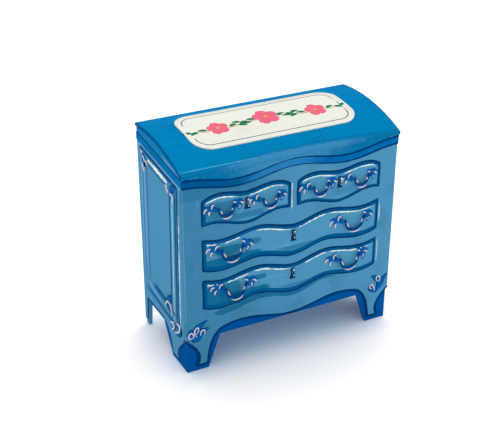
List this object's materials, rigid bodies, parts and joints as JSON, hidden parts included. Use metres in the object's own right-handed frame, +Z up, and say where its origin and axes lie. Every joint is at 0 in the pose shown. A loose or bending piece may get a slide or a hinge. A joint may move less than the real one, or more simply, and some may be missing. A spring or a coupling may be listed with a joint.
{
  "type": "dresser with drawers",
  "caption": "Miniature painted dresser with a bowed top, curved bracket feet, wavy-edged small and wide sliding drawers, and hinged bail pulls.",
  "frame": {"origin": "on the floor, under the middle of the footprint with the pulls included", "axes": "+Z up, the front with the drawers faces -Y, +X to the right of someone who faces it"},
  "size_m": [0.1106, 0.0522, 0.1081],
  "materials": {
    "front_paint": "brushed matt paint",
    "side_paint": "brushed matt paint",
    "top_paint": "brushed satin paint",
    "foot_paint": "brushed matt paint",
    "crown_paint": "worn matt paint",
    "band_paint": "brushed matt paint",
    "drawer_paint": "brushed matt paint",
    "cloth_paint": "brushed matt paint",
    "bare_wood": "sanded bare wood",
    "pull_paint": "satin paint",
    "ornament_paint": "satin paint",
    "keyhole_paint": "satin paint"
  },
  "bodies": {
    "carcass": {"left_side_panel": "side_paint", "right_side_panel": "side_paint", "left_side_frame": "side_paint", "right_side_frame": "side_paint", "left_side_moulding": "side_paint", "right_side_moulding": "side_paint", "back_panel": "side_paint", "top_panel": "top_paint", "top_inlay": "cloth_paint", "left_stile": "front_paint", "right_stile": "front_paint", "top_rail": "front_paint", "divider": "front_paint", "upper_rail": "front_paint", "lower_rail": "front_paint", "apron": "front_paint", "foot_board": "foot_paint", "front_crown": "crown_paint", "front_band": "band_paint", "side_bands": "band_paint", "bottom_board": "bare_wood", "lower_dust_board": "bare_wood", "upper_dust_board": "bare_wood", "partition": "bare_wood", "drawer_guides": "bare_wood", "drawer_stops": "bare_wood", "corner_blocks": "bare_wood", "leaf_ornaments": "ornament_paint"},
    "small_left_drawer": {"small_left_front": "drawer_paint", "small_left_sides": "bare_wood", "small_left_back": "bare_wood", "small_left_bottom": "bare_wood", "small_left_keyhole_plate": "keyhole_paint", "small_left_pull_mounts": "pull_paint"},
    "small_left_left_bail": {"small_left_left_bail": "pull_paint"},
    "small_left_right_bail": {"small_left_right_bail": "pull_paint"},
    "small_right_drawer": {"small_right_front": "drawer_paint", "small_right_sides": "bare_wood", "small_right_back": "bare_wood", "small_right_bottom": "bare_wood", "small_right_keyhole_plate": "keyhole_paint", "small_right_pull_mounts": "pull_paint"},
    "small_right_left_bail": {"small_right_left_bail": "pull_paint"},
    "small_right_right_bail": {"small_right_right_bail": "pull_paint"},
    "middle_drawer": {"middle_front": "drawer_paint", "middle_sides": "bare_wood", "middle_back": "bare_wood", "middle_bottom": "bare_wood", "middle_keyhole_plate": "keyhole_paint", "middle_pull_mounts": "pull_paint"},
    "middle_left_bail": {"middle_left_bail": "pull_paint"},
    "middle_right_bail": {"middle_right_bail": "pull_paint"},
    "lower_drawer": {"lower_front": "drawer_paint", "lower_sides": "bare_wood", "lower_back": "bare_wood", "lower_bottom": "bare_wood", "lower_keyhole_plate": "keyhole_paint", "lower_pull_mounts": "pull_paint"},
    "lower_left_bail": {"lower_left_bail": "pull_paint"},
    "lower_right_bail": {"lower_right_bail": "pull_paint"}
  },
  "joints": [
    {"name": "small_left_drawer_slide", "type": "slide", "parent": "carcass", "child": "small_left_drawer", "axis": [0, -1, 0], "range_m": [0, 0.03]},
    {"name": "small_left_left_bail_hinge", "type": "hinge", "parent": "small_left_drawer", "child": "small_left_left_bail", "pos_m": [-0.03451, -0.02523, 0.08191], "axis": [-1, 0, 0], "range_deg": [0, 95]},
    {"name": "small_left_right_bail_hinge", "type": "hinge", "parent": "small_left_drawer", "child": "small_left_right_bail", "pos_m": [-0.01289, -0.02523, 0.08191], "axis": [-1, 0, 0], "range_deg": [0, 95]},
    {"name": "small_right_drawer_slide", "type": "slide", "parent": "carcass", "child": "small_right_drawer", "axis": [0, -1, 0], "range_m": [0, 0.03]},
    {"name": "small_right_left_bail_hinge", "type": "hinge", "parent": "small_right_drawer", "child": "small_right_left_bail", "pos_m": [0.01289, -0.02523, 0.08191], "axis": [-1, 0, 0], "range_deg": [0, 95]},
    {"name": "small_right_right_bail_hinge", "type": "hinge", "parent": "small_right_drawer", "child": "small_right_right_bail", "pos_m": [0.03451, -0.02523, 0.08191], "axis": [-1, 0, 0], "range_deg": [0, 95]},
    {"name": "middle_drawer_slide", "type": "slide", "parent": "carcass", "child": "middle_drawer", "axis": [0, -1, 0], "range_m": [0, 0.03]},
    {"name": "middle_left_bail_hinge", "type": "hinge", "parent": "middle_drawer", "child": "middle_left_bail", "pos_m": [-0.03179, -0.02523, 0.06101], "axis": [-1, 0, 0], "range_deg": [0, 95]},
    {"name": "middle_right_bail_hinge", "type": "hinge", "parent": "middle_drawer", "child": "middle_right_bail", "pos_m": [0.03179, -0.02523, 0.06101], "axis": [-1, 0, 0], "range_deg": [0, 95]},
    {"name": "lower_drawer_slide", "type": "slide", "parent": "carcass", "child": "lower_drawer", "axis": [0, -1, 0], "range_m": [0, 0.03]},
    {"name": "lower_left_bail_hinge", "type": "hinge", "parent": "lower_drawer", "child": "lower_left_bail", "pos_m": [-0.03, -0.02523, 0.041], "axis": [-1, 0, 0], "range_deg": [0, 95]},
    {"name": "lower_right_bail_hinge", "type": "hinge", "parent": "lower_drawer", "child": "lower_right_bail", "pos_m": [0.03, -0.02523, 0.041], "axis": [-1, 0, 0], "range_deg": [0, 95]}
  ]
}
